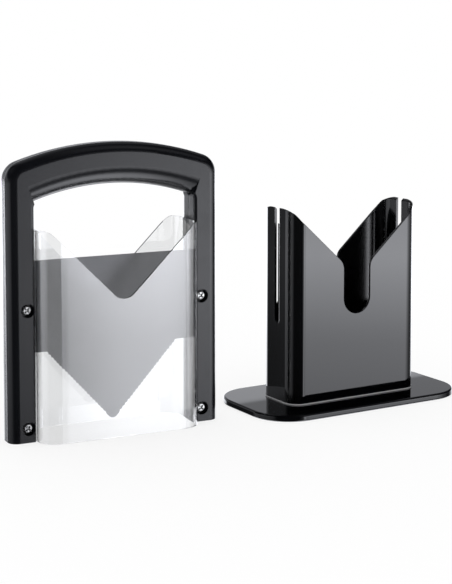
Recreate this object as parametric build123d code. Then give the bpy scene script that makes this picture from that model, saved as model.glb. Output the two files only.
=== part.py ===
from build123d import *
import os
from math import atan2, cos, degrees, hypot, radians, tan

# Guillotine slicer for round buns, in millimetres, +Z up. A bun holder stands on its base plate, and the
# blade carriage, an arched handle with a clear sleeve and a pointed blade, stands beside it on the same
# surface. The origin is the middle of the base plate's underside, +X runs along the holder's width and
# -Y is the front.

# Driving sizes of the holder
base_width = 202.0
base_depth = 107.0
base_thickness = 5.5
base_corner_radius = 34.0
base_top_rounding = 1.6
base_bottom_rounding = 1.4
holder_width = 131.0
holder_depth = 51.0
holder_top = 172.0
holder_corner_radius = 12.5
holder_wall = 2.3
holder_floor = 3.0
holder_foot_spread = 0.5
holder_foot_height = 1.4

# Notch in the holder's front and rear walls, a round-bottomed slot that opens into a V, and the fall of the rim
notch_width = 27.6
notch_bottom = 78.6
notch_throat = 122.8
notch_bend_width = 113.0
notch_bend_height = 161.4
notch_mouth_width = 130.4
notch_throat_rounding = 12.0
notch_bend_rounding = 15.0
notch_mouth_rounding = 5.0
rim_fall_radius = 40.0

# Slots in the holder's end walls that the blade runs in, and the relief slot in its rear wall
blade_slot_width = 7.4
blade_slot_bottom = 72.2
relief_slot_width = 5.0
relief_slot_bottom = 84.0
relief_slot_from_corner = 15.0

# Screws under the base plate
base_screw_radius = 1.95
base_screw_head_radius = 3.8
base_screw_head_height = 2.3
base_screw_recess = 0.6
base_boss_radius = 5.0
base_boss_height = 12.0
base_boss_from_end = 10.5
base_boss_from_side = 8.5

# Driving sizes of the blade carriage
carriage_width = 179.0
carriage_height = 233.5
handle_shoulder_height = 216.4
handle_shoulder_radius = 16.0
handle_bar_height = 33.3
handle_opening_rise = 12.0
handle_opening_rounding = 5.0
leg_depth = 23.0
outer_edge_rounding = 7.8
inner_edge_rounding = 2.4
grip_rounding_depth = 10.8
grip_rounding_height = 14.4
parting_chamfer = 0.4

# Clear sleeve round the holder, made of a front and a rear shield
shield_wall = 1.8
shield_top = 167.5
shield_foot_gap = 0.6
shield_flange = 13.0
shield_corner_extra = 0.5
shield_notch_point = 106.1
shield_notch_slope_angle = 45.0
shield_notch_rounding = 12.0
shield_mouth_rounding = 7.0

# Pointed blade, toothed along both lower edges
blade_thickness = 1.0
blade_top = 142.0
blade_shoulder = 68.8
blade_shoulder_width = 112.7
blade_tip_height = 9.2
blade_tip_rounding = 4.5
blade_end_margin = 1.0
tooth_count = 22
tooth_depth = 1.1
tooth_reach_share = 0.9

# Screws that clamp the two halves of the frame
frame_screw_heights = (11.1, 104.6)
frame_screw_from_inner_face = 6.4
frame_screw_radius = 1.95
frame_screw_head_radius = 4.0
frame_screw_head_height = 2.3
frame_screw_head_rounding = 1.5
frame_screw_recess_radius = 5.4
frame_screw_recess_depth = 4.3
frame_screw_length = 17.0
screw_cross_length = 4.6
screw_cross_width = 1.2
screw_cross_depth = 1.2
frame_screw_cross_turn = 45.0

# Clearances
sleeve_clearance = 0.8
screw_hole_clearance = 0.05
screw_end_clearance = 0.5
clamp_hole_clearance = 0.3
cut_overrun = 2.0

# How near an edge or a corner lies to the place that it is picked by
match_tolerance = 0.5

# Where the carriage stands beside the holder
carriage_gap_x = 217.0
carriage_gap_y = 9.9
carriage_turn = -5.2


def rounded_block(width, depth, height, radius, bottom):
    """Upright block with rounded corners, centred on the Z axis, standing on the height given as bottom."""
    outline = Plane.XY.offset(bottom) * RectangleRounded(width, depth, radius)
    return extrude(outline, amount=height)


def across_depth(outline, front, back):
    """Solid made from an outline in the XZ plane, running in Y from front to back."""
    return extrude(Plane.XZ.offset(-back) * outline, amount=back - front, dir=(0, -1, 0))


def y_cylinder(radius, x, z, front, back):
    """Round bar along Y from front to back."""
    return across_depth(Pos(x, z) * Circle(radius), front, back)


def z_cylinder(radius, x, y, bottom, top):
    """Round bar along Z from bottom to top."""
    return extrude(Plane.XY.offset(bottom) * (Pos(x, y) * Circle(radius)), amount=top - bottom)


def box_between(low, high):
    """Box between two corners."""
    size = [high[i] - low[i] for i in range(len(low))]
    middle = [(high[i] + low[i]) / 2 for i in range(len(low))]
    return Pos(*middle) * Box(*size)


def standing(shape):
    """The carriage's piece, moved to where the carriage stands beside the holder."""
    return Pos(-carriage_gap_x, carriage_gap_y, 0) * Rot(0, 0, carriage_turn) * shape


# Sizes that follow for the holder
holder_half_width = holder_width / 2
holder_half_depth = holder_depth / 2
holder_inner_radius = holder_corner_radius - holder_wall
floor_top = base_thickness + holder_floor
boss_top = base_thickness + base_boss_height
base_screw_places = [
    (side * (holder_half_width - base_boss_from_end), row * (holder_half_depth - base_boss_from_side))
    for row in (-1, 1)
    for side in (-1, 1)
]
base_head_seat = base_screw_recess + base_screw_head_height
base_screw_tip = boss_top - holder_wall - screw_end_clearance


def holder_notch():
    """Cut for the slot with a round bottom that opens into a V, through both long walls."""
    half = notch_width / 2
    bend = notch_bend_width / 2
    mouth = notch_mouth_width / 2
    far = holder_half_width + notch_mouth_rounding + cut_overrun
    above = holder_top + notch_mouth_rounding
    points = [
        (-half, notch_bottom + half),
        (-half, notch_throat),
        (-bend, notch_bend_height),
        (-mouth, holder_top),
        (-far, holder_top),
        (-far, above),
        (far, above),
        (far, holder_top),
        (mouth, holder_top),
        (bend, notch_bend_height),
        (half, notch_throat),
        (half, notch_bottom + half),
    ]
    lower = Pos(0, notch_bottom + half) * Circle(half)
    outline = Polygon(*points, align=None)
    throat = [v for v in outline.vertices() if abs(v.Y - notch_throat) < match_tolerance]
    outline = fillet(throat, notch_throat_rounding)
    bends = [v for v in outline.vertices() if abs(v.Y - notch_bend_height) < match_tolerance]
    outline = fillet(bends, notch_bend_rounding)
    rims = [v for v in outline.vertices() if abs(v.Y - holder_top) < match_tolerance]
    mouth_corners = [v for v in rims if abs(v.X) < (mouth + far) / 2]
    outline = fillet(mouth_corners, notch_mouth_rounding)
    reach = holder_half_depth + cut_overrun
    return across_depth(outline, -reach, reach) + across_depth(lower, -reach, reach)


def rim_fall():
    """Cut that lets the rim fall away from the blade slots towards the front and the rear, along large rounds."""
    start = blade_slot_width / 2
    reach = holder_half_width + cut_overrun
    far = holder_half_depth + cut_overrun
    low = holder_top - rim_fall_radius
    cuts = []
    for side in (-1, 1):
        corner = (-reach, min(side * start, side * far), low)
        block = box_between(corner, (reach, max(side * start, side * far), holder_top + cut_overrun))
        round_bar = Plane.YZ.offset(-reach) * (Pos(side * start, low) * Circle(rim_fall_radius))
        cuts.append(block - extrude(round_bar, amount=2 * reach))
    return cuts[0] + cuts[1]


def end_slots():
    """Cuts for the blade through both end walls, open at the top and round at the bottom."""
    half = blade_slot_width / 2
    reach = holder_half_width + cut_overrun
    straight = box_between((-reach, -half, blade_slot_bottom + half), (reach, half, holder_top + cut_overrun))
    ends = extrude(Plane.YZ.offset(-reach) * (Pos(0, blade_slot_bottom + half) * Circle(half)), amount=2 * reach)
    return straight + ends


def relief_slot():
    """Cut for the narrow slot in the rear wall beside the left corner."""
    half = relief_slot_width / 2
    x = -holder_half_width + relief_slot_from_corner
    low = (x - half, holder_half_depth - holder_wall - cut_overrun, relief_slot_bottom + half)
    high = (x + half, holder_half_depth + cut_overrun, holder_top + cut_overrun)
    return box_between(low, high) + y_cylinder(half, x, relief_slot_bottom + half, low[1], high[1])


def make_holder_body():
    """Open-topped box that the bun stands in, with its floor, screw bosses, notch and slots."""
    wall_height = holder_top - base_thickness
    body = rounded_block(holder_width, holder_depth, wall_height, holder_corner_radius, base_thickness)
    inner_width = holder_width - 2 * holder_wall
    inner_depth = holder_depth - 2 * holder_wall
    hollow = rounded_block(inner_width, inner_depth, holder_top, holder_inner_radius, floor_top)
    body = body - hollow
    foot_width = holder_width + 2 * holder_foot_spread
    foot_depth = holder_depth + 2 * holder_foot_spread
    foot_radius = holder_corner_radius + holder_foot_spread
    foot = rounded_block(foot_width, foot_depth, holder_foot_height, foot_radius, base_thickness)
    body = body + foot
    for x, y in base_screw_places:
        body = body + z_cylinder(base_boss_radius, x, y, base_thickness, boss_top)
    for x, y in base_screw_places:
        pilot = base_screw_radius + screw_hole_clearance
        body = body - z_cylinder(pilot, x, y, base_thickness - cut_overrun, base_screw_tip + screw_end_clearance)
    return body - holder_notch() - rim_fall() - end_slots() - relief_slot()


def make_base_plate():
    """Wide flat plate under the holder, with rounded corners and holes for its screws."""
    plate = rounded_block(base_width, base_depth, base_thickness, base_corner_radius, 0)
    plate = fillet(plate.edges().group_by(Axis.Z)[-1], base_top_rounding)
    plate = fillet(plate.edges().group_by(Axis.Z)[0], base_bottom_rounding)
    for x, y in base_screw_places:
        shank = base_screw_radius + screw_hole_clearance
        plate = plate - z_cylinder(shank, x, y, -cut_overrun, base_thickness + cut_overrun)
        head = base_screw_head_radius + clamp_hole_clearance
        plate = plate - z_cylinder(head, x, y, -cut_overrun, base_head_seat)
    return plate


def make_base_screw(x, y):
    """Screw from below, through the base plate into a boss of the holder."""
    head = z_cylinder(base_screw_head_radius, x, y, base_screw_recess, base_head_seat)
    shank = z_cylinder(base_screw_radius, x, y, base_screw_recess, base_screw_tip)
    cross_half = screw_cross_length / 2
    width_half = screw_cross_width / 2
    cross_top = base_screw_recess + screw_cross_depth
    bar_x = box_between((x - cross_half, y - width_half, -cut_overrun), (x + cross_half, y + width_half, cross_top))
    bar_y = box_between((x - width_half, y - cross_half, -cut_overrun), (x + width_half, y + cross_half, cross_top))
    return head + shank - bar_x - bar_y


# Sizes that follow for the carriage, in its own frame before it is moved beside the holder
carriage_half_width = carriage_width / 2
leg_half_depth = leg_depth / 2
sleeve_half_width = holder_half_width + sleeve_clearance + shield_wall
sleeve_half_depth = holder_half_depth + sleeve_clearance + shield_wall
opening_top = carriage_height - handle_bar_height
flange_end = sleeve_half_width + shield_flange
blade_half_width = flange_end - blade_end_margin
blade_half_thickness = blade_thickness / 2
clamp_half_depth = blade_half_thickness + shield_wall
frame_screw_x = sleeve_half_width + frame_screw_from_inner_face
frame_screw_places = [(side * frame_screw_x, z) for z in frame_screw_heights for side in (-1, 1)]
frame_head_seat = -leg_half_depth + frame_screw_recess_depth
frame_screw_end = frame_head_seat + frame_screw_length - frame_screw_head_height


def frame_outline():
    """Arched frame seen from the front: two legs joined by the handle bar."""
    half = carriage_half_width
    inner = sleeve_half_width
    rim = make_face(
        [
            Line((-half, 0), (-half, handle_shoulder_height)),
            ThreePointArc(
                (-half, handle_shoulder_height), (0, carriage_height), (half, handle_shoulder_height)
            ),
            Line((half, handle_shoulder_height), (half, 0)),
            Line((half, 0), (-half, 0)),
        ]
    )
    shoulders = [v for v in rim.vertices() if abs(v.Y - handle_shoulder_height) < match_tolerance]
    rim = fillet(shoulders, handle_shoulder_radius)
    side_top = opening_top - handle_opening_rise
    opening = make_face(
        [
            Line((-inner, -cut_overrun), (-inner, side_top)),
            ThreePointArc((-inner, side_top), (0, opening_top), (inner, side_top)),
            Line((inner, side_top), (inner, -cut_overrun)),
            Line((inner, -cut_overrun), (-inner, -cut_overrun)),
        ]
    )
    corners = [v for v in opening.vertices() if abs(v.Y - side_top) < match_tolerance]
    return rim - fillet(corners, handle_opening_rounding)


def leg_pockets(front, back):
    """Pockets in the legs' mating faces for the shields' flanges, one each side."""
    low_inner = sleeve_half_width - cut_overrun
    left = box_between((-flange_end, front, -cut_overrun), (-low_inner, back, shield_top))
    right = box_between((low_inner, front, -cut_overrun), (flange_end, back, shield_top))
    return left + right


def rounded_rim(half_frame, face_y):
    """Half frame with its outward face's edges rounded, more along the outside than along the opening."""
    inner_limit = sleeve_half_width + match_tolerance
    top_limit = opening_top + match_tolerance

    def rim_edges(solid, inside):
        edges = []
        for edge in solid.edges():
            box = edge.bounding_box()
            on_face = max(abs(box.min.Y - face_y), abs(box.max.Y - face_y)) < match_tolerance
            lies_inside = max(-box.min.X, box.max.X) < inner_limit and box.max.Z < top_limit
            if on_face and box.max.Z > match_tolerance and lies_inside == inside:
                edges.append(edge)
        return edges

    rounded = fillet(rim_edges(half_frame, False), outer_edge_rounding)
    return fillet(rim_edges(rounded, True), inner_edge_rounding)


def parting_edge(half_frame):
    """Half frame with the edges of its mating face chamfered, so that a fine groove shows between the halves."""
    edges = []
    for edge in half_frame.edges():
        box = edge.bounding_box()
        on_mating_face = max(abs(box.min.Y), abs(box.max.Y)) < match_tolerance
        if on_mating_face and box.max.Z > match_tolerance:
            edges.append(edge)
    return chamfer(edges, parting_chamfer)


def grip_cut(face_y):
    """Cut that rounds the handle bar's underside off towards one face, along the arch of the opening."""
    inward = -1 if face_y > 0 else 1
    arch_radius = (sleeve_half_width**2 + handle_opening_rise**2) / (2 * handle_opening_rise)
    arch_centre = opening_top - arch_radius
    half_angle = atan2(sleeve_half_width, arch_radius - handle_opening_rise)
    y_centre = face_y + inward * grip_rounding_depth
    z_centre = opening_top + grip_rounding_height
    low = min(face_y - inward * cut_overrun, y_centre)
    high = max(face_y - inward * cut_overrun, y_centre)
    corner = make_face(Polyline((low, opening_top - cut_overrun), (high, opening_top - cut_overrun),
                                (high, z_centre), (low, z_centre), close=True))
    wedge = Plane.YZ * (corner - Pos(y_centre, z_centre) * Ellipse(grip_rounding_depth, grip_rounding_height))
    axis = Axis((0, 0, arch_centre), (0, 1, 0))
    start = wedge.rotate(axis, -degrees(half_angle))
    return revolve(start, axis, 2 * degrees(half_angle))


def make_frame_front():
    """Front half of the arched frame, with recessed holes for the clamping screws."""
    half = across_depth(frame_outline(), -leg_half_depth, 0)
    half = parting_edge(rounded_rim(half, -leg_half_depth)) - grip_cut(-leg_half_depth)
    half = half - leg_pockets(-clamp_half_depth, cut_overrun)
    for x, z in frame_screw_places:
        hole = frame_screw_radius + screw_hole_clearance
        half = half - y_cylinder(hole, x, z, -leg_half_depth, 0)
        half = half - y_cylinder(frame_screw_recess_radius, x, z, -leg_half_depth - cut_overrun, frame_head_seat)
    return half


def make_frame_rear():
    """Rear half of the arched frame, with blind holes that the screws bite into."""
    half = across_depth(frame_outline(), 0, leg_half_depth)
    half = parting_edge(rounded_rim(half, leg_half_depth)) - grip_cut(leg_half_depth)
    half = half - leg_pockets(-cut_overrun, clamp_half_depth)
    for x, z in frame_screw_places:
        hole = frame_screw_radius + screw_hole_clearance
        half = half - y_cylinder(hole, x, z, -cut_overrun, frame_screw_end + screw_end_clearance)
    return half


def shield_notch():
    """Cut for the V in both shields, with a round point and rounded shoulders."""
    slope = tan(radians(shield_notch_slope_angle))
    mouth = (shield_top - shield_notch_point) / slope
    above = shield_top + cut_overrun + shield_mouth_rounding
    far = flange_end + cut_overrun
    points = [
        (0, shield_notch_point),
        (-mouth, shield_top),
        (-far, shield_top),
        (-far, above),
        (far, above),
        (far, shield_top),
        (mouth, shield_top),
    ]
    outline = Polygon(*points, align=None)
    shoulders = [
        v
        for v in outline.vertices()
        if abs(v.Y - shield_top) < match_tolerance and abs(v.X) < (mouth + far) / 2
    ]
    outline = fillet(shoulders, shield_mouth_rounding)
    point = [v for v in outline.vertices() if abs(v.Y - shield_notch_point) < match_tolerance]
    outline = fillet(point, shield_notch_rounding)
    reach = sleeve_half_depth + cut_overrun
    return across_depth(outline, -reach, reach)


def make_shield(side):
    """One clear shield, front for side -1 and rear for side 1: a wide channel with flanges at its ends."""
    height = shield_top - shield_foot_gap
    outer_radius = holder_corner_radius + sleeve_clearance + shield_wall + shield_corner_extra
    inner_radius = outer_radius - shield_wall
    width = 2 * sleeve_half_width
    depth = 2 * sleeve_half_depth
    tube = rounded_block(width, depth, height, outer_radius, shield_foot_gap)
    inner_width = width - 2 * shield_wall
    inner_depth = depth - 2 * shield_wall
    tube = tube - rounded_block(inner_width, inner_depth, height + 2 * cut_overrun, inner_radius, -cut_overrun)
    near = min(side * blade_half_thickness, side * (sleeve_half_depth + cut_overrun))
    far = max(side * blade_half_thickness, side * (sleeve_half_depth + cut_overrun))
    reach = sleeve_half_width + cut_overrun
    keep = box_between((-reach, near, -cut_overrun), (reach, far, shield_top + cut_overrun))
    shield = tube & keep
    flange_front = min(side * blade_half_thickness, side * clamp_half_depth)
    flange_back = max(side * blade_half_thickness, side * clamp_half_depth)
    inner_face = sleeve_half_width - shield_wall / 2
    left = box_between((-flange_end, flange_front, shield_foot_gap), (-inner_face, flange_back, shield_top))
    right = box_between((inner_face, flange_front, shield_foot_gap), (flange_end, flange_back, shield_top))
    shield = shield + left + right - shield_notch()
    for x, z in frame_screw_places:
        hole = frame_screw_radius + clamp_hole_clearance
        shield = shield - y_cylinder(hole, x, z, -sleeve_half_depth, sleeve_half_depth)
    return shield


def tooth_edge(start, end):
    """Points of a toothed edge from start to end: a notch and a tooth in each step."""
    length = hypot(end[0] - start[0], end[1] - start[1])
    along = ((end[0] - start[0]) / length, (end[1] - start[1]) / length)
    inward = (-along[1], along[0])
    pitch = length * tooth_reach_share / tooth_count
    points = []
    for i in range(tooth_count):
        root = (i + 1 / 2) * pitch
        crest = (i + 1) * pitch
        points.append((start[0] + along[0] * root + inward[0] * tooth_depth,
                       start[1] + along[1] * root + inward[1] * tooth_depth))
        points.append((start[0] + along[0] * crest, start[1] + along[1] * crest))
    return points


def make_blade():
    """Flat blade with square shoulders held in the legs and two toothed edges that meet in a round tip."""
    shoulder = blade_shoulder_width / 2
    slope_angle = atan2(blade_shoulder - blade_tip_height, shoulder)
    tip_drop = blade_tip_rounding * (1 / cos(slope_angle) - 1)
    point = (0, blade_tip_height - tip_drop)
    left_teeth = tooth_edge((-shoulder, blade_shoulder), point)
    right_teeth = [(-x, z) for x, z in reversed(left_teeth)]
    points = [(-blade_half_width, blade_top), (-blade_half_width, blade_shoulder), (-shoulder, blade_shoulder)]
    points = points + left_teeth + [point] + right_teeth
    points = points + [(shoulder, blade_shoulder), (blade_half_width, blade_shoulder), (blade_half_width, blade_top)]
    outline = Polygon(*points, align=None)
    tip = [v for v in outline.vertices() if abs(v.X) < match_tolerance and v.Y < blade_shoulder]
    outline = fillet(tip, blade_tip_rounding)
    blade = across_depth(outline, -blade_half_thickness, blade_half_thickness)
    for x, z in frame_screw_places:
        hole = frame_screw_radius + clamp_hole_clearance
        blade = blade - y_cylinder(hole, x, z, -leg_half_depth, leg_half_depth)
    return blade


def make_frame_screw(x, z):
    """Cross-recessed screw from the front, through the clamped stack into the rear half of the frame."""
    head_face = frame_head_seat - frame_screw_head_height
    head = y_cylinder(frame_screw_head_radius, x, z, head_face, frame_head_seat)
    head = fillet(head.edges().group_by(Axis.Y)[0], frame_screw_head_rounding)
    shank = y_cylinder(frame_screw_radius, x, z, head_face, frame_screw_end)
    cross_half = screw_cross_length / 2
    width_half = screw_cross_width / 2
    front = head_face - cut_overrun
    cross_back = head_face + screw_cross_depth
    level = box_between((x - cross_half, front, z - width_half), (x + cross_half, cross_back, z + width_half))
    upright = box_between((x - width_half, front, z - cross_half), (x + width_half, cross_back, z + cross_half))
    cross = (level + upright).rotate(Axis((x, 0, z), (0, 1, 0)), frame_screw_cross_turn)
    return head + shank - cross


def write_piece(name, shape):
    """Write one piece as its own STEP file."""
    export_step(shape, os.path.join("parts", name + ".step"))


os.makedirs("parts", exist_ok=True)

# Holder
write_piece("holder_body", make_holder_body())
write_piece("base_plate", make_base_plate())
for number, (screw_x, screw_y) in enumerate(base_screw_places, start=1):
    write_piece(f"base_screw_{number}", make_base_screw(screw_x, screw_y))

# Blade carriage, standing beside the holder
write_piece("frame_front", standing(make_frame_front()))
write_piece("frame_rear", standing(make_frame_rear()))
write_piece("shield_front", standing(make_shield(-1)))
write_piece("shield_rear", standing(make_shield(1)))
write_piece("blade", standing(make_blade()))
for number, (screw_x, screw_z) in enumerate(frame_screw_places, start=1):
    write_piece(f"frame_screw_{number}", standing(make_frame_screw(screw_x, screw_z)))
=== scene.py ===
import math

import bmesh
import bpy
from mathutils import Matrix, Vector


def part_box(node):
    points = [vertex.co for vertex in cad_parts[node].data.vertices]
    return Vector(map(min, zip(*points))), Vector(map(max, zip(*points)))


bl_info = {
    "name": "Guillotine bun slicer",
    "version": (1, 0, 0),
    "blender": (4, 5, 0),
    "location": "3D View > Sidebar > Bun slicer",
    "description": "Finishes the holder and the blade carriage of a guillotine bun slicer, and sets its stage",
    "category": "Object",
}

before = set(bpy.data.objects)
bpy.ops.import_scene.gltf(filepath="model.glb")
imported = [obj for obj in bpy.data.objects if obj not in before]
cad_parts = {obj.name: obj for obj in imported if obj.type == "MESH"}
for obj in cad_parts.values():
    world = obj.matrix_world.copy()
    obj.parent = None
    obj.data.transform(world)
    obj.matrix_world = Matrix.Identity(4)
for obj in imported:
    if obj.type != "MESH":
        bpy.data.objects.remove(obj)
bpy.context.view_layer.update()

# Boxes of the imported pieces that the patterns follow
BLADE_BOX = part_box("blade")
HOLDER_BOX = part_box("holder_body")

# How far the carriage stands turned beside the holder, in degrees about the upright
CARRIAGE_TURN = -5.2

# Height of the painted highlight line round the holder's foot: a pale band in the base colour that stands in for
# the light the fillet between holder and plate catches
FOOT_HIGHLIGHT_HEIGHT = 0.001
# How far inside the holder's box a point has to lie to count as the hollow
HOLLOW_INSET = 0.0012
# How far the painted shade reaches: the plastic's gloss falls in its grooves and screw holes, and the screws'
# colour darkens in their recesses
GROOVE_REACH = 0.003
SCREW_RECESS_REACH = 0.0016
SHADE_SAMPLES = 8

PLASTIC_IOR = 1.5
SHIELD_IOR = 1.49
SHIELD_COAT_IOR = 1.6

FLOOR_RADIUS = 6.0
# Distances from the middle between which the floor's shadow fades out
SHADOW_FADE = (0.3, 0.9)
FILM_WIDTH = 36.0


# ---------------------------------------------------------------- node helpers


def new_material(name):
    """A material with only a Principled BSDF and its output, and the pair of them."""
    material = bpy.data.materials.new(name)
    material.use_nodes = True
    tree = material.node_tree
    tree.nodes.clear()
    output = tree.nodes.new("ShaderNodeOutputMaterial")
    shader = tree.nodes.new("ShaderNodeBsdfPrincipled")
    tree.links.new(shader.outputs["BSDF"], output.inputs["Surface"])
    return material, shader


def add_node(tree, kind, values=None, **settings):
    """A node with its settings and its input values."""
    node = tree.nodes.new(kind)
    for key, value in settings.items():
        setattr(node, key, value)
    for key, value in (values or {}).items():
        node.inputs[key].default_value = value
    return node


def set_ramp(node, stops):
    """Fills a Color Ramp node with (place, value) stops, where a value is a number or a colour."""
    ramp = node.color_ramp
    while len(ramp.elements) > 1:
        ramp.elements.remove(ramp.elements[-1])
    for i, (place, value) in enumerate(stops):
        element = ramp.elements[0] if i == 0 else ramp.elements.new(place)
        element.position = place
        colour = value if isinstance(value, tuple) else (value, value, value)
        element.color = (*colour, 1.0)


def remap(tree, socket, source, target):
    """A value carried from one range, given as a pair, to another, and held at its ends."""
    limits = {"From Min": source[0], "From Max": source[1], "To Min": target[0], "To Max": target[1]}
    node = add_node(tree, "ShaderNodeMapRange", limits)
    tree.links.new(socket, node.inputs["Value"])
    return node.outputs["Result"]


def combine(tree, operation, first, second):
    """Result of a Math node with two inputs."""
    node = add_node(tree, "ShaderNodeMath", operation=operation)
    tree.links.new(first, node.inputs[0])
    tree.links.new(second, node.inputs[1])
    return node.outputs["Value"]


def compare(tree, operation, socket, limit):
    """1 where a value lies on the named side of a fixed limit, and 0 elsewhere."""
    node = add_node(tree, "ShaderNodeMath", {1: limit}, operation=operation)
    tree.links.new(socket, node.inputs[0])
    return node.outputs["Value"]


def fitted_ramp(tree, socket, stops):
    """Value that (place, value) stops give at a socket's value, with the ramp stretched over their own range."""
    first, last = stops[0][0], stops[-1][0]
    ramp = add_node(tree, "ShaderNodeValToRGB")
    set_ramp(ramp, [((place - first) / (last - first), value) for place, value in stops])
    tree.links.new(remap(tree, socket, (first, last), (0.0, 1.0)), ramp.inputs["Fac"])
    return ramp.outputs["Color"]


def object_vector(tree, turn=0.0, centre=(0.0, 0.0, 0.0)):
    """Object coordinates, centred on a point and turned about Z so that a pattern follows a turned piece."""
    coords = add_node(tree, "ShaderNodeTexCoord")
    mapping = add_node(tree, "ShaderNodeMapping", vector_type="TEXTURE")
    mapping.inputs["Location"].default_value = centre
    mapping.inputs["Rotation"].default_value = (0.0, 0.0, turn)
    tree.links.new(coords.outputs["Object"], mapping.inputs["Vector"])
    return mapping.outputs["Vector"]


def carriage_vector(tree):
    """Object coordinates in the carriage's own frame, with the blade's middle at the origin."""
    low, high = BLADE_BOX
    middle = (Vector(low) + Vector(high)) / 2
    return object_vector(tree, math.radians(CARRIAGE_TURN), (middle.x, middle.y, 0.0))


def moulded_skin_group():
    """Node group for moulded plastic: slow waviness of the mould, fine texture, and faint handling marks."""
    name = "moulded_skin"
    if name in bpy.data.node_groups:
        return bpy.data.node_groups[name]
    group = bpy.data.node_groups.new(name, "ShaderNodeTree")
    face = group.interface
    face.new_socket("Vector", in_out="INPUT", socket_type="NodeSocketVector")
    for socket, default in (("Wave Scale", 18.0), ("Grain Scale", 1400.0), ("Grain Share", 0.3), ("Marks", 0.1)):
        face.new_socket(socket, in_out="INPUT", socket_type="NodeSocketFloat").default_value = default
    face.new_socket("Height", in_out="OUTPUT", socket_type="NodeSocketFloat")
    face.new_socket("Marks", in_out="OUTPUT", socket_type="NodeSocketFloat")
    face.new_socket("Mottle", in_out="OUTPUT", socket_type="NodeSocketFloat")
    start = group.nodes.new("NodeGroupInput")
    end = group.nodes.new("NodeGroupOutput")
    link = group.links.new
    wave = add_node(group, "ShaderNodeTexNoise", {"Detail": 1.0, "Roughness": 0.4})
    link(start.outputs["Vector"], wave.inputs["Vector"])
    link(start.outputs["Wave Scale"], wave.inputs["Scale"])
    grain = add_node(group, "ShaderNodeTexNoise", {"Detail": 2.0, "Roughness": 0.6})
    link(start.outputs["Vector"], grain.inputs["Vector"])
    link(start.outputs["Grain Scale"], grain.inputs["Scale"])
    mix = add_node(group, "ShaderNodeMix", data_type="FLOAT")
    link(start.outputs["Grain Share"], mix.inputs["Factor"])
    link(wave.outputs["Fac"], mix.inputs["A"])
    link(grain.outputs["Fac"], mix.inputs["B"])
    link(mix.outputs["Result"], end.inputs["Height"])
    smudge = add_node(group, "ShaderNodeTexNoise", {"Scale": 42.0, "Detail": 4.0, "Roughness": 0.62})
    link(start.outputs["Vector"], smudge.inputs["Vector"])
    marks = remap(group, smudge.outputs["Fac"], (0.5, 0.78), (0.0, 1.0))
    link(combine(group, "MULTIPLY", marks, start.outputs["Marks"]), end.inputs["Marks"])
    link(wave.outputs["Fac"], end.inputs["Mottle"])
    return group


def soft_edge_group():
    """Node group that rounds a sharp moulded edge in the shading and adds a bump over it."""
    name = "soft_edge"
    if name in bpy.data.node_groups:
        return bpy.data.node_groups[name]
    group = bpy.data.node_groups.new(name, "ShaderNodeTree")
    face = group.interface
    face.new_socket("Height", in_out="INPUT", socket_type="NodeSocketFloat")
    face.new_socket("Radius", in_out="INPUT", socket_type="NodeSocketFloat").default_value = 0.0005
    face.new_socket("Depth", in_out="INPUT", socket_type="NodeSocketFloat").default_value = 0.00005
    face.new_socket("Strength", in_out="INPUT", socket_type="NodeSocketFloat").default_value = 0.2
    face.new_socket("Normal", in_out="OUTPUT", socket_type="NodeSocketVector")
    start = group.nodes.new("NodeGroupInput")
    end = group.nodes.new("NodeGroupOutput")
    link = group.links.new
    bevel = add_node(group, "ShaderNodeBevel", samples=6)
    link(start.outputs["Radius"], bevel.inputs["Radius"])
    bump = add_node(group, "ShaderNodeBump")
    link(start.outputs["Strength"], bump.inputs["Strength"])
    link(start.outputs["Depth"], bump.inputs["Distance"])
    link(start.outputs["Height"], bump.inputs["Height"])
    link(bevel.outputs["Normal"], bump.inputs["Normal"])
    link(bump.outputs["Normal"], end.inputs["Normal"])
    return group


def add_group(tree, group, values):
    """A group node with its own values."""
    node = tree.nodes.new("ShaderNodeGroup")
    node.node_tree = group
    for key, value in values.items():
        node.inputs[key].default_value = value
    return node


def moulded_plastic(name, colour, roughness, skin, edge, place=object_vector, gloss_level=0.5):
    """Moulded plastic: a colour that varies a little, a gloss between clean and marked, and softened edges."""
    material, shader = new_material(name)
    tree = material.node_tree
    link = tree.links.new
    surface = add_group(tree, moulded_skin_group(), skin)
    link(place(tree), surface.inputs["Vector"])
    tone = add_node(tree, "ShaderNodeValToRGB")
    set_ramp(tone, [(0.3, tuple(0.8 * c for c in colour)), (0.7, tuple(1.25 * c for c in colour))])
    link(surface.outputs["Mottle"], tone.inputs["Fac"])
    link(tone.outputs["Color"], shader.inputs["Base Color"])
    link(remap(tree, surface.outputs["Marks"], (0.0, 1.0), roughness), shader.inputs["Roughness"])
    finish = add_group(tree, soft_edge_group(), edge)
    link(surface.outputs["Height"], finish.inputs["Height"])
    link(finish.outputs["Normal"], shader.inputs["Normal"])
    shader.inputs["IOR"].default_value = PLASTIC_IOR
    shade_recesses(tree, shader.inputs["Specular IOR Level"], gloss_level)
    return material


def shade_recesses(tree, socket, level):
    """Lets a value fall to a tenth where the surface lies deep in a recess or a groove."""
    reach = {"Distance": GROOVE_REACH}
    hidden = add_node(tree, "ShaderNodeAmbientOcclusion", reach, samples=SHADE_SAMPLES, only_local=True)
    tree.links.new(remap(tree, hidden.outputs["AO"], (0.35, 0.75), (0.1 * level, level)), socket)


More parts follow.
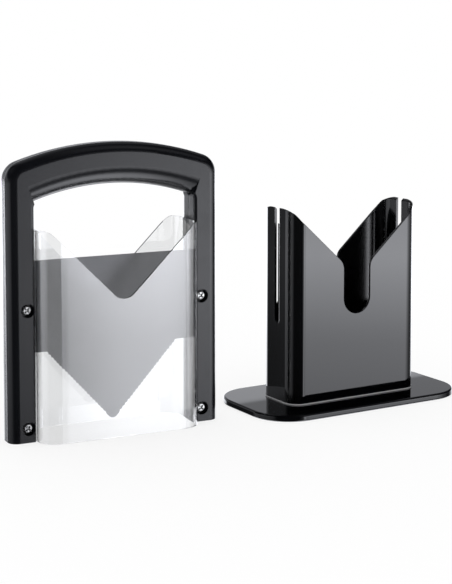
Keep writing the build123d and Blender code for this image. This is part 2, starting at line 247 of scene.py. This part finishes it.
def inside_box_group():
    """Node group that gives 1 inside an upright box round the Z axis and 0 outside it."""
    name = "inside_box"
    if name in bpy.data.node_groups:
        return bpy.data.node_groups[name]
    group = bpy.data.node_groups.new(name, "ShaderNodeTree")
    face = group.interface
    face.new_socket("Vector", in_out="INPUT", socket_type="NodeSocketVector")
    for socket in ("Half Width", "Half Depth", "Bottom"):
        face.new_socket(socket, in_out="INPUT", socket_type="NodeSocketFloat")
    face.new_socket("Inside", in_out="OUTPUT", socket_type="NodeSocketFloat")
    start = group.nodes.new("NodeGroupInput")
    end = group.nodes.new("NodeGroupOutput")
    link = group.links.new
    parts = add_node(group, "ShaderNodeSeparateXYZ")
    link(start.outputs["Vector"], parts.inputs["Vector"])
    inside = combine(group, "GREATER_THAN", parts.outputs["Z"], start.outputs["Bottom"])
    for axis, limit in (("X", "Half Width"), ("Y", "Half Depth")):
        size = add_node(group, "ShaderNodeMath", operation="ABSOLUTE")
        link(parts.outputs[axis], size.inputs[0])
        within = combine(group, "LESS_THAN", size.outputs["Value"], start.outputs[limit])
        inside = combine(group, "MULTIPLY", inside, within)
    link(inside, end.inputs["Inside"])
    return group


def blend_input(material, socket_name, share, other, data_type):
    """Blends what feeds one of a material's shader inputs towards another value, by a 0 to 1 share."""
    tree = material.node_tree
    shader = next(node for node in tree.nodes if node.type == "BSDF_PRINCIPLED")
    socket = shader.inputs[socket_name]
    mix = add_node(tree, "ShaderNodeMix", {"B": other}, data_type=data_type)
    tree.links.new(share, mix.inputs["Factor"])
    tree.links.new(socket.links[0].from_socket, mix.inputs["A"])
    tree.links.new(mix.outputs["Result"], socket)


def paint_foot_highlight(material, colour):
    """Paints the thin highlight line where the holder meets its base plate: a pale band in the base colour that
    stands in for the light the fillet there catches.
    """
    tree = material.node_tree
    foot = HOLDER_BOX[0][2]
    parts = add_node(tree, "ShaderNodeSeparateXYZ")
    tree.links.new(object_vector(tree), parts.inputs["Vector"])
    # Painted highlight: below this height the base colour turns pale
    line = compare(tree, "LESS_THAN", parts.outputs["Z"], foot + FOOT_HIGHLIGHT_HEIGHT)
    blend_input(material, "Base Color", line, (*colour, 1.0), "RGBA")


def roughen_inside(material, roughness):
    """Makes the holder's hollow duller than its polished outside."""
    tree = material.node_tree
    low, high = HOLDER_BOX
    limits = {
        "Half Width": high[0] - HOLLOW_INSET,
        "Half Depth": high[1] - HOLLOW_INSET,
        "Bottom": low[2] + HOLLOW_INSET,
    }
    mask = add_group(tree, inside_box_group(), limits)
    tree.links.new(object_vector(tree), mask.inputs["Vector"])
    blend_input(material, "Roughness", mask.outputs["Inside"], roughness, "FLOAT")


def mirrored_ray(tree):
    """1 for a ray that a glossy surface mirrors, and 0 for one that comes straight or through something clear."""
    path = add_node(tree, "ShaderNodeLightPath")
    straight = add_node(tree, "ShaderNodeMath", {0: 1.0}, operation="SUBTRACT")
    tree.links.new(path.outputs["Is Transmission Ray"], straight.inputs[1])
    return combine(tree, "MULTIPLY", path.outputs["Is Glossy Ray"], straight.outputs["Value"])


def finish_node(name, material):
    """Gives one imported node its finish."""
    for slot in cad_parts[name].material_slots:
        slot.material = material


# ---------------------------------------------------------------- settings


class HolderSettings(bpy.types.PropertyGroup):
    plastic_colour: bpy.props.FloatVectorProperty(
        name="Plastic colour",
        description="Colour of the holder and its base plate",
        subtype="COLOR",
        size=3,
        default=(0.0009, 0.001, 0.0014),
        min=0.0,
        max=1.0,
    )
    gloss_roughness: bpy.props.FloatProperty(
        name="Gloss roughness",
        description="Roughness of the holder's glossy plastic where it is clean",
        default=0.035,
        min=0.0,
        max=1.0,
    )
    plate_roughness: bpy.props.FloatProperty(
        name="Plate roughness",
        description="Roughness of the base plate's polished top",
        default=0.008,
        min=0.0,
        max=1.0,
    )
    # Painted highlight: colour of the pale band that stands in for the light on the fillet round the holder's foot
    foot_highlight_colour: bpy.props.FloatVectorProperty(
        name="Foot line colour",
        description="Colour of the thin light line round the holder's foot",
        subtype="COLOR",
        size=3,
        default=(0.5, 0.5, 0.51),
        min=0.0,
        max=1.0,
    )
    hollow_roughness: bpy.props.FloatProperty(
        name="Hollow roughness",
        description="Roughness of the plastic inside the holder",
        default=0.17,
        min=0.0,
        max=1.0,
    )
    edge_radius: bpy.props.FloatProperty(
        name="Edge radius",
        description="Rounding that the plastic's sharp edges show",
        subtype="DISTANCE",
        unit="LENGTH",
        default=0.0005,
        min=0.0,
    )


class CarriageSettings(bpy.types.PropertyGroup):
    frame_colour: bpy.props.FloatVectorProperty(
        name="Frame colour",
        description="Colour of the arched handle frame",
        subtype="COLOR",
        size=3,
        default=(0.003, 0.0033, 0.0048),
        min=0.0,
        max=1.0,
    )
    frame_roughness: bpy.props.FloatProperty(
        name="Frame roughness",
        description="Roughness of the frame's satin plastic",
        default=0.22,
        min=0.0,
        max=1.0,
    )
    frame_gloss: bpy.props.FloatProperty(
        name="Frame gloss",
        description="How strongly the frame's satin plastic mirrors its surroundings",
        default=0.43,
        min=0.0,
        max=1.0,
    )
    shield_tint: bpy.props.FloatVectorProperty(
        name="Shield tint",
        description="Tint of the clear shields",
        subtype="COLOR",
        size=3,
        default=(0.9, 0.905, 0.91),
        min=0.0,
        max=1.0,
    )
    blade_colour: bpy.props.FloatVectorProperty(
        name="Blade colour",
        description="Colour of the blade's coating",
        subtype="COLOR",
        size=3,
        default=(0.23, 0.233, 0.245),
        min=0.0,
        max=1.0,
    )
    edge_radius: bpy.props.FloatProperty(
        name="Edge radius",
        description="Rounding that the frame's sharp edges show",
        subtype="DISTANCE",
        unit="LENGTH",
        default=0.0006,
        min=0.0,
    )


class StageSettings(bpy.types.PropertyGroup):
    camera_focal_length: bpy.props.FloatProperty(
        name="Focal length",
        description="Focal length of the camera in millimetres on a 36 mm frame",
        default=94.264,
        min=1.0,
    )
    camera_turn: bpy.props.FloatProperty(
        name="Camera turn",
        description="How far the camera stands round to the left of the front",
        subtype="ANGLE",
        unit="ROTATION",
        default=0.5408,
    )
    camera_tilt: bpy.props.FloatProperty(
        name="Camera tilt",
        description="How far the camera looks down",
        subtype="ANGLE",
        unit="ROTATION",
        default=0.0896,
    )
    camera_distance: bpy.props.FloatProperty(
        name="Camera distance",
        description="Distance of the camera from the point that it looks at",
        subtype="DISTANCE",
        unit="LENGTH",
        default=1.2628,
        min=0.1,
    )
    camera_aim: bpy.props.FloatVectorProperty(
        name="Camera aim",
        description="Point that the camera looks at",
        subtype="XYZ",
        unit="LENGTH",
        size=3,
        default=(-0.11583, 0.0, 0.22089),
    )
    camera_shift: bpy.props.FloatProperty(
        name="Picture shift",
        description="Vertical shift of the picture that keeps upright lines nearly upright",
        default=-0.2397,
    )
    floor_colour: bpy.props.FloatVectorProperty(
        name="Floor colour",
        description="Colour of the plain floor",
        subtype="COLOR",
        size=3,
        default=(0.99, 0.99, 0.99),
        min=0.0,
        max=1.0,
    )
    shadow_share: bpy.props.FloatProperty(
        name="Shadow share",
        description="How much of the object's shadow the floor shows",
        subtype="FACTOR",
        default=0.22,
        min=0.0,
        max=1.0,
    )
    panel_strength: bpy.props.FloatProperty(
        name="Panel strength",
        description="Brightness of the soft panels round the stage that glossy surfaces show",
        default=12.54,
        min=0.0,
    )


# ---------------------------------------------------------------- pieces


class SLICER_OT_holder(bpy.types.Operator):
    """Finish the holder and its base plate in glossy black plastic"""

    bl_idname = "slicer.holder"
    bl_label = "Holder"

    def execute(self, context):
        s = context.scene.slicer_holder
        skin = {"Wave Scale": 16.0, "Grain Scale": 900.0, "Grain Share": 0.02, "Marks": 0.6}
        edge = {"Radius": s.edge_radius, "Depth": 0.0004, "Strength": 0.06}
        roughness = (s.gloss_roughness, s.gloss_roughness + 0.05)
        body = moulded_plastic("holder_gloss_black", tuple(s.plastic_colour), roughness, skin, edge)
        roughen_inside(body, s.hollow_roughness)
        paint_foot_highlight(body, tuple(s.foot_highlight_colour))
        finish_node("holder_body", body)
        skin = {"Wave Scale": 11.0, "Grain Scale": 900.0, "Grain Share": 0.02, "Marks": 0.8}
        edge = {"Radius": s.edge_radius, "Depth": 0.0004, "Strength": 0.01}
        roughness = (s.plate_roughness, s.plate_roughness + 0.02)
        plate = moulded_plastic("plate_gloss_black", tuple(s.plastic_colour), roughness, skin, edge)
        finish_node("base_plate", plate)
        return {"FINISHED"}


class SLICER_OT_frame(bpy.types.Operator):
    """Finish both halves of the arched handle frame in satin black plastic"""

    bl_idname = "slicer.frame"
    bl_label = "Handle frame"

    def execute(self, context):
        s = context.scene.slicer_carriage
        skin = {"Wave Scale": 20.0, "Grain Scale": 1600.0, "Grain Share": 0.25, "Marks": 0.5}
        edge = {"Radius": s.edge_radius, "Depth": 0.0003, "Strength": 0.1}
        roughness = (s.frame_roughness, s.frame_roughness + 0.08)
        colour = tuple(s.frame_colour)
        satin = moulded_plastic("frame_satin_black", colour, roughness, skin, edge, carriage_vector, s.frame_gloss)
        finish_node("frame_front", satin)
        finish_node("frame_rear", satin)
        return {"FINISHED"}


class SLICER_OT_shields(bpy.types.Operator):
    """Finish the two clear shields that make the sleeve"""

    bl_idname = "slicer.shields"
    bl_label = "Clear shields"

    def execute(self, context):
        s = context.scene.slicer_carriage
        material, shader = new_material("shield_clear")
        tree = material.node_tree
        link = tree.links.new
        shader.inputs["Transmission Weight"].default_value = 1.0
        shader.inputs["IOR"].default_value = SHIELD_IOR
        shader.inputs["Coat Weight"].default_value = 1.0
        shader.inputs["Coat Roughness"].default_value = 0.0
        shader.inputs["Coat IOR"].default_value = SHIELD_COAT_IOR
        skin = {"Wave Scale": 22.0, "Grain Scale": 900.0, "Grain Share": 0.0, "Marks": 0.5}
        surface = add_group(tree, moulded_skin_group(), skin)
        link(object_vector(tree, math.radians(CARRIAGE_TURN)), surface.inputs["Vector"])
        tone = add_node(tree, "ShaderNodeValToRGB")
        set_ramp(tone, [(0.3, tuple(s.shield_tint)), (0.7, tuple(min(1.0, c + 0.015) for c in s.shield_tint))])
        link(surface.outputs["Mottle"], tone.inputs["Fac"])
        link(tone.outputs["Color"], shader.inputs["Base Color"])
        link(remap(tree, surface.outputs["Marks"], (0.0, 1.0), (0.0, 0.02)), shader.inputs["Roughness"])
        bump = add_node(tree, "ShaderNodeBump", {"Strength": 0.02, "Distance": 0.0002})
        link(surface.outputs["Height"], bump.inputs["Height"])
        link(bump.outputs["Normal"], shader.inputs["Normal"])
        finish_node("shield_front", material)
        finish_node("shield_rear", material)
        return {"FINISHED"}


class SLICER_OT_blade(bpy.types.Operator):
    """Finish the toothed blade in coated grey steel"""

    bl_idname = "slicer.blade"
    bl_label = "Blade"

    def execute(self, context):
        s = context.scene.slicer_carriage
        material, shader = new_material("blade_coated_steel")
        tree = material.node_tree
        link = tree.links.new
        vector = carriage_vector(tree)
        speckle = add_node(tree, "ShaderNodeTexNoise", {"Scale": 60.0, "Detail": 3.0, "Roughness": 0.5})
        link(vector, speckle.inputs["Vector"])
        tone = add_node(tree, "ShaderNodeValToRGB")
        base = tuple(s.blade_colour)
        set_ramp(tone, [(0.3, tuple(0.95 * c for c in base)), (0.55, base), (0.75, tuple(1.05 * c for c in base))])
        link(speckle.outputs["Fac"], tone.inputs["Fac"])
        link(tone.outputs["Color"], shader.inputs["Base Color"])
        rolled = add_node(tree, "ShaderNodeMapping")
        rolled.inputs["Scale"].default_value = (6.0, 6.0, 900.0)
        link(vector, rolled.inputs["Vector"])
        lines = add_node(tree, "ShaderNodeTexNoise", {"Scale": 1.0, "Detail": 3.0, "Roughness": 0.6})
        link(rolled.outputs["Vector"], lines.inputs["Vector"])
        link(remap(tree, lines.outputs["Fac"], (0.3, 0.7), (0.47, 0.51)), shader.inputs["Roughness"])
        shader.inputs["Metallic"].default_value = 0.6
        finish = add_group(tree, soft_edge_group(), {"Radius": 0.0002, "Depth": 0.00002, "Strength": 0.03})
        link(speckle.outputs["Fac"], finish.inputs["Height"])
        link(finish.outputs["Normal"], shader.inputs["Normal"])
        finish_node("blade", material)
        return {"FINISHED"}


class SLICER_OT_screws(bpy.types.Operator):
    """Finish the screws in bright plated steel"""

    bl_idname = "slicer.screws"
    bl_label = "Screws"

    def execute(self, context):
        material, shader = new_material("screw_plated_steel")
        tree = material.node_tree
        link = tree.links.new
        worn = add_node(tree, "ShaderNodeTexNoise", {"Scale": 900.0, "Detail": 3.0, "Roughness": 0.6})
        link(object_vector(tree), worn.inputs["Vector"])
        tone = add_node(tree, "ShaderNodeValToRGB")
        set_ramp(tone, [(0.35, (0.42, 0.42, 0.42)), (0.65, (0.6, 0.6, 0.59))])
        link(worn.outputs["Fac"], tone.inputs["Fac"])
        # Painted shade: ambient occlusion darkens the screws' base colour nearly to black in the cross recesses
        # and round the heads
        reach = {"Distance": SCREW_RECESS_REACH}
        hidden = add_node(tree, "ShaderNodeAmbientOcclusion", reach, samples=SHADE_SAMPLES, only_local=True)
        shaded = add_node(tree, "ShaderNodeMix", {"Factor": 1.0}, data_type="RGBA", blend_type="MULTIPLY")
        link(tone.outputs["Color"], shaded.inputs["A"])
        link(remap(tree, hidden.outputs["AO"], (0.5, 0.9), (0.02, 1.0)), shaded.inputs["B"])
        link(shaded.outputs["Result"], shader.inputs["Base Color"])
        link(remap(tree, worn.outputs["Fac"], (0.3, 0.7), (0.18, 0.32)), shader.inputs["Roughness"])
        shader.inputs["Metallic"].default_value = 1.0
        finish = add_group(tree, soft_edge_group(), {"Radius": 0.0004, "Depth": 0.00003, "Strength": 0.2})
        link(worn.outputs["Fac"], finish.inputs["Height"])
        link(finish.outputs["Normal"], shader.inputs["Normal"])
        for number in range(1, 5):
            finish_node(f"base_screw_{number}", material)
            finish_node(f"frame_screw_{number}", material)
        return {"FINISHED"}


# ---------------------------------------------------------------- stage

# Brightness that glossy surfaces mirror, by direction round the stage in degrees (0 is the front, 90 the right)
# times brightness by height in degrees (-90 is straight down)
PANELS_ROUND = [
    (2, 0.004), (10, 0.06), (13, 0.12), (14.5, 0.2), (16.6, 0.33), (19, 0.36), (25, 0.42), (30, 0.526),
    (38, 0.52), (46, 0.36), (60, 0.14), (80, 0.02), (95, 0.02), (105, 0.2), (120, 0.4), (135, 0.4),
    (141, 0.3), (160, 0.3), (176, 0.52), (191, 0.52), (196, 0.04), (205, 0.02), (211, 0.008), (216, 0.035),
    (222, 0.12), (270, 0.12), (284, 0.09), (296, 0.004),
]
PANELS_HIGH = [
    (-90, 0.8), (-42, 0.8), (-34, 0.05), (-22, 0.04), (-18.5, 0.13), (-16, 0.29), (-12, 0.52), (-9, 0.98),
    (-7, 0.9), (-4, 0.5), (0, 0.28), (6, 0.04), (11, 0.0), (24, 0.0), (40, 0.08), (90, 0.04),
]
# The same for a sharp-edged panel near the front, which veils the blade behind the clear shield
VEIL_ROUND = [(14.5, 0.0), (14.66, 0.12), (15.1, 0.15), (16.6, 0.26), (18.3, 0.3), (20.5, 0.26), (23, 0.0)]
VEIL_HIGH = [(-19, 0.0), (-17, 0.3), (-15, 0.5), (-12.6, 0.55), (-8, 0.5), (-6.6, 0.2), (-5.6, 0.0)]
# Brightness of the upright panel at the back, by how steeply the direction climbs: height over depth
PANEL_REAR = [(0.05, 0.0), (0.16, 0.08), (0.3015, 0.08), (0.3035, 0.038), (0.4, 0.035), (0.55, 0.0)]
# Smallest depth of a direction that still counts as towards the back
REAR_DEPTH = 0.001
# Faint light that mirrored rays find where no panel is, and the panels' colour
UNLIT_STRENGTH = 0.006
PANEL_COLOUR = (0.93, 0.945, 1.0, 1.0)
WHITE = (1.0, 1.0, 1.0, 1.0)


class SLICER_OT_stage(bpy.types.Operator):
    """Set the plain floor, the soft light and the camera"""

    bl_idname = "slicer.stage"
    bl_label = "Stage"

    def execute(self, context):
        s = context.scene.slicer_stage
        self.make_floor(context, s)
        self.make_world(context, s)
        self.make_camera(context, s)
        context.scene.view_settings.view_transform = "Standard"
        return {"FINISHED"}

    def make_floor(self, context, s):
        """Round floor that shows a soft shadow near the object and is plain white further out."""
        mesh = bpy.data.meshes.new("floor")
        bm = bmesh.new()
        bmesh.ops.create_circle(bm, cap_ends=True, segments=96, radius=FLOOR_RADIUS)
        bm.to_mesh(mesh)
        bm.free()
        floor = bpy.data.objects.new("floor", mesh)
        context.collection.objects.link(floor)
        material = bpy.data.materials.new("floor_pale")
        material.use_nodes = True
        tree = material.node_tree
        tree.nodes.clear()
        link = tree.links.new
        output = add_node(tree, "ShaderNodeOutputMaterial")
        matt = add_node(tree, "ShaderNodeBsdfDiffuse", {"Color": (*s.floor_colour, 1.0)})
        plain = add_node(tree, "ShaderNodeEmission", {"Color": WHITE, "Strength": 1.0})
        coords = add_node(tree, "ShaderNodeTexCoord")
        length = add_node(tree, "ShaderNodeVectorMath", operation="LENGTH")
        link(coords.outputs["Object"], length.inputs[0])
        look = add_node(tree, "ShaderNodeMixShader")
        link(remap(tree, length.outputs["Value"], SHADOW_FADE, (s.shadow_share, 0.0)), look.inputs["Fac"])
        link(plain.outputs["Emission"], look.inputs[1])
        link(matt.outputs["BSDF"], look.inputs[2])
        clear = add_node(tree, "ShaderNodeBsdfTransparent")
        cover = add_node(tree, "ShaderNodeMixShader")
        link(mirrored_ray(tree), cover.inputs["Fac"])
        link(look.outputs["Shader"], cover.inputs[1])
        link(clear.outputs["BSDF"], cover.inputs[2])
        link(cover.outputs["Shader"], output.inputs["Surface"])
        mesh.materials.append(material)

    def make_world(self, context, s):
        """White room for the camera and through glass, soft light for the object, and panels for gloss."""
        world = bpy.data.worlds.new("white_room")
        context.scene.world = world
        world.use_nodes = True
        world.cycles.sampling_method = "NONE"
        tree = world.node_tree
        tree.nodes.clear()
        link = tree.links.new
        output = add_node(tree, "ShaderNodeOutputWorld")
        coords = add_node(tree, "ShaderNodeTexCoord")
        radial = add_node(tree, "ShaderNodeTexGradient", gradient_type="RADIAL")
        link(coords.outputs["Generated"], radial.inputs["Vector"])
        parts = add_node(tree, "ShaderNodeSeparateXYZ")
        link(coords.outputs["Generated"], parts.inputs["Vector"])
        around, height = radial.outputs["Fac"], parts.outputs["Z"]
        panels = self.panel(tree, around, height, PANELS_ROUND, PANELS_HIGH)
        veil = self.panel(tree, around, height, VEIL_ROUND, VEIL_HIGH)
        total = combine(tree, "ADD", combine(tree, "ADD", panels, veil), self.rear_panel(tree, parts))
        strength = {1: s.panel_strength, 2: UNLIT_STRENGTH}
        lit = add_node(tree, "ShaderNodeMath", strength, operation="MULTIPLY_ADD")
        link(total, lit.inputs[0])
        gloss = add_node(tree, "ShaderNodeBackground", {"Color": PANEL_COLOUR})
        link(lit.outputs["Value"], gloss.inputs["Strength"])
        room = add_node(tree, "ShaderNodeBackground", {"Color": WHITE, "Strength": 1.0})
        pick = add_node(tree, "ShaderNodeMixShader")
        link(mirrored_ray(tree), pick.inputs["Fac"])
        link(room.outputs["Background"], pick.inputs[1])
        link(gloss.outputs["Background"], pick.inputs[2])
        link(pick.outputs["Shader"], output.inputs["Surface"])

    def panel(self, tree, around, height, round_stops, high_stops):
        """Brightness by direction round the stage times brightness by height."""
        turns = sorted(((angle / 360.0 + 0.25) % 1.0, value) for angle, value in round_stops)
        sines = [(math.sin(math.radians(angle)), value) for angle, value in high_stops]
        return combine(tree, "MULTIPLY", fitted_ramp(tree, around, turns), fitted_ramp(tree, height, sines))

    def rear_panel(self, tree, parts):
        """Upright panel across the back that level glossy faces show: the steeper the direction, the dimmer."""
        depth = add_node(tree, "ShaderNodeMath", {1: REAR_DEPTH}, operation="MAXIMUM")
        tree.links.new(parts.outputs["Y"], depth.inputs[0])
        slope = combine(tree, "DIVIDE", parts.outputs["Z"], depth.outputs["Value"])
        behind = compare(tree, "GREATER_THAN", parts.outputs["Y"], REAR_DEPTH)
        return combine(tree, "MULTIPLY", fitted_ramp(tree, slope, PANEL_REAR), behind)

    def make_camera(self, context, s):
        """Camera where the photograph was taken from."""
        data = bpy.data.cameras.new("camera")
        data.sensor_width = FILM_WIDTH
        data.lens = s.camera_focal_length
        data.shift_y = s.camera_shift
        data.clip_start = 0.01
        data.clip_end = 50.0
        camera = bpy.data.objects.new("camera", data)
        context.collection.objects.link(camera)
        turn, tilt = s.camera_turn, s.camera_tilt
        level = math.cos(tilt)
        back = Vector((-math.sin(turn) * level, -math.cos(turn) * level, math.sin(tilt)))
        camera.location = Vector(s.camera_aim) + s.camera_distance * back
        camera.rotation_euler = (math.pi / 2 - tilt, 0.0, -turn)
        context.scene.camera = camera


class SLICER_PT_panel(bpy.types.Panel):
    """Sizes, colours and pieces of the slicer"""

    bl_label = "Bun slicer"
    bl_idname = "SLICER_PT_panel"
    bl_space_type = "VIEW_3D"
    bl_region_type = "UI"
    bl_category = "Bun slicer"

    def draw(self, context):
        layout = self.layout
        scene = context.scene
        for settings in (scene.slicer_holder, scene.slicer_carriage, scene.slicer_stage):
            for key in settings.bl_rna.properties.keys():
                if key not in ("rna_type", "name"):
                    layout.prop(settings, key)
        for operator in OPERATORS:
            layout.operator(operator.bl_idname)


SETTINGS = (HolderSettings, CarriageSettings, StageSettings)
OPERATORS = (
    SLICER_OT_holder,
    SLICER_OT_frame,
    SLICER_OT_shields,
    SLICER_OT_blade,
    SLICER_OT_screws,
    SLICER_OT_stage,
)
CLASSES = SETTINGS + OPERATORS + (SLICER_PT_panel,)


def register():
    for cls in CLASSES:
        bpy.utils.register_class(cls)
    bpy.types.Scene.slicer_holder = bpy.props.PointerProperty(type=HolderSettings)
    bpy.types.Scene.slicer_carriage = bpy.props.PointerProperty(type=CarriageSettings)
    bpy.types.Scene.slicer_stage = bpy.props.PointerProperty(type=StageSettings)


def unregister():
    del bpy.types.Scene.slicer_stage
    del bpy.types.Scene.slicer_carriage
    del bpy.types.Scene.slicer_holder
    for cls in reversed(CLASSES):
        bpy.utils.unregister_class(cls)


def main():
    register()
    bpy.ops.slicer.holder()
    bpy.ops.slicer.frame()
    bpy.ops.slicer.shields()
    bpy.ops.slicer.blade()
    bpy.ops.slicer.screws()
    bpy.ops.slicer.stage()


if __name__ == "__main__":
    main()
